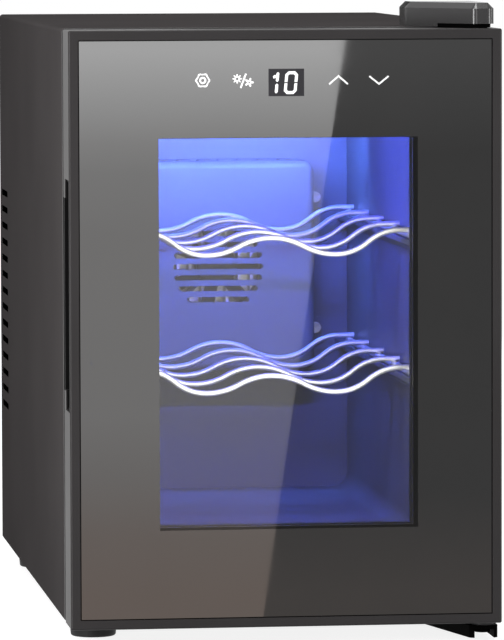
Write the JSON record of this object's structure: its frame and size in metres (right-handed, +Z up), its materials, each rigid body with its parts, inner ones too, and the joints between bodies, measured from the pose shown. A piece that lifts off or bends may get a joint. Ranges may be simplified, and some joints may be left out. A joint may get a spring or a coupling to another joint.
{
  "type": "wine cooler",
  "caption": "Countertop wine cooler: dark steel casing, black glass door with touch display and side grip, wire shelves and thermoelectric cooling.",
  "frame": {"origin": "On the floor, in the middle of the footprint", "axes": "+X to the hinge side (right, seen from the front), +Y from the door to the back, +Z up"},
  "size_m": [0.252, 0.495, 0.3722],
  "materials": {
    "casing_paint": "satin",
    "black_plastic": "satin",
    "door_plastic": "satin",
    "liner_plastic": "satin",
    "foam": "matte",
    "front_glass": "gloss",
    "inner_glass": "gloss",
    "spacer_metal": "satin",
    "gasket_rubber": "matte",
    "foot_rubber": "matte",
    "zinc_steel": "satin",
    "bracket_steel": "satin",
    "shelf_wire": "polished",
    "sink_aluminium": "satin",
    "circuit_board": "satin",
    "component": "satin",
    "nylon": "satin",
    "contact_brass": "satin",
    "lamp_lens": "satin",
    "module_ceramic": "satin"
  },
  "bodies": {
    "cabinet": {"outer_shell": "casing_paint", "back_panel": "casing_paint", "base_panel": "black_plastic", "front_frame": "black_plastic", "hinge_cap": "black_plastic", "power_inlet": "black_plastic", "hot_fan_frame": "black_plastic", "cold_fan_frame": "black_plastic", "hinge_washer": "black_plastic", "liner": "liner_plastic", "shelf_ledges": "liner_plastic", "fan_cover": "liner_plastic", "sensor_clip": "liner_plastic", "insulation": "foam", "feet": "foot_rubber", "foot_screws": "zinc_steel", "back_panel_screws": "zinc_steel", "top_hinge_screws": "zinc_steel", "sink_screws": "zinc_steel", "hot_fan_screws": "zinc_steel", "fan_cover_screws": "zinc_steel", "bottom_hinge_bracket": "bracket_steel", "top_hinge_plate": "bracket_steel", "top_hinge_pin": "bracket_steel", "bottom_hinge_pin": "bracket_steel", "bottom_hinge_screws": "bracket_steel", "fan_guard": "shelf_wire", "cold_sink": "sink_aluminium", "cold_block": "sink_aluminium", "hot_sink": "sink_aluminium", "main_board": "circuit_board", "led_board": "circuit_board", "board_parts": "component", "board_posts": "nylon", "inlet_pins": "contact_brass", "led_lens": "lamp_lens", "peltier_module": "module_ceramic"},
    "door": {"door_frame": "door_plastic", "front_glass": "front_glass", "glazing_spacer": "spacer_metal", "inner_glass": "inner_glass", "door_back_frame": "door_plastic", "door_gasket": "gasket_rubber", "handle_cup": "black_plastic", "touch_board": "circuit_board", "touch_pads": "foot_rubber", "display_module": "component", "top_bush": "black_plastic", "bottom_bush": "black_plastic"},
    "upper_shelf": {"upper_shelf_wires": "shelf_wire", "upper_shelf_rails": "shelf_wire"},
    "lower_shelf": {"lower_shelf_wires": "shelf_wire", "lower_shelf_rails": "shelf_wire"},
    "cold_impeller": {"cold_fan_rotor": "black_plastic"},
    "hot_impeller": {"hot_fan_rotor": "black_plastic"}
  },
  "joints": [
    {"name": "door_hinge", "type": "hinge", "parent": "cabinet", "child": "door", "pos_m": [0.117, -0.2315, 0.1845], "axis": [0, 0, 1], "range_deg": [0, 120]},
    {"name": "upper_shelf_slide", "type": "slide", "parent": "cabinet", "child": "upper_shelf", "axis": [0, -1, 0], "range_m": [0, 0.03]},
    {"name": "lower_shelf_slide", "type": "slide", "parent": "cabinet", "child": "lower_shelf", "axis": [0, -1, 0], "range_m": [0, 0.03]},
    {"name": "cold_fan_spin", "type": "hinge", "parent": "cabinet", "child": "cold_impeller", "pos_m": [0, 0.1055, 0.2], "axis": [0, 1, 0], "continuous": true},
    {"name": "hot_fan_spin", "type": "hinge", "parent": "cabinet", "child": "hot_impeller", "pos_m": [0, 0.2304, 0.2], "axis": [0, 1, 0], "continuous": true}
  ]
}
